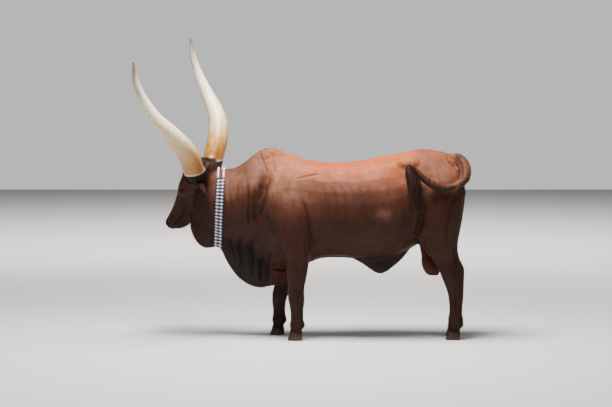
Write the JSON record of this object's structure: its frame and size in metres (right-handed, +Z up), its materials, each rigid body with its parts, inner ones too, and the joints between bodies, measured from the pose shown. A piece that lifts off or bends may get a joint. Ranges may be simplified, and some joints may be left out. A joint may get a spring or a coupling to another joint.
{
  "type": "ankole watusi bull",
  "caption": "Standing Ankole bull with long upswept horns, low hump, folded dewlap, tail swung over its flank and a beaded neck band.",
  "frame": {"origin": "middle of the bounding box's underside, on the floor between the feet", "axes": "-X forward along the body, so +X runs towards the tail; +Y towards the bull's right side; +Z up"},
  "size_m": [2.4192, 0.9708, 2.2264],
  "materials": {
    "hide": "short glossy reddish-brown hair, paler on the back, darker low on the sides",
    "hide_dark": "short dark brown to charcoal hair over folded skin",
    "horn": "smooth satin keratin, cream with an ochre base and brown tips",
    "hoof": "satin keratin with fine growth rings",
    "eye": "wet, dark brown",
    "switch_hair": "long dark tail hair",
    "bead_band": "woven navy and cream seed beads in lozenges",
    "bead_cord": "strung white seed beads"
  },
  "bodies": {
    "root": {"collar_band_left": "bead_band", "collar_band_right": "bead_band", "collar_cord_front": "bead_cord", "collar_cord_rear": "bead_cord", "dewlap": "hide_dark", "ear_left": "hide", "ear_right": "hide", "eye_left": "eye", "eye_right": "eye", "foreclaw_left_a": "hoof", "foreclaw_left_b": "hoof", "foreclaw_right_a": "hoof", "foreclaw_right_b": "hoof", "foredewclaw_left_a": "hoof", "foredewclaw_left_b": "hoof", "foredewclaw_right_a": "hoof", "foredewclaw_right_b": "hoof", "foreleg_left": "hide", "foreleg_right": "hide", "head": "hide", "hindclaw_left_a": "hoof", "hindclaw_left_b": "hoof", "hindclaw_right_a": "hoof", "hindclaw_right_b": "hoof", "hinddewclaw_left_a": "hoof", "hinddewclaw_left_b": "hoof", "hinddewclaw_right_a": "hoof", "hinddewclaw_right_b": "hoof", "hindleg_left": "hide", "hindleg_right": "hide", "horn_left": "horn", "horn_right": "horn", "neck": "hide", "scrotum": "hide", "sheath": "hide", "tail_lower": "hide", "tail_middle": "hide", "tail_switch": "switch_hair", "tail_upper": "hide", "torso": "hide"}
  },
  "joints": []
}
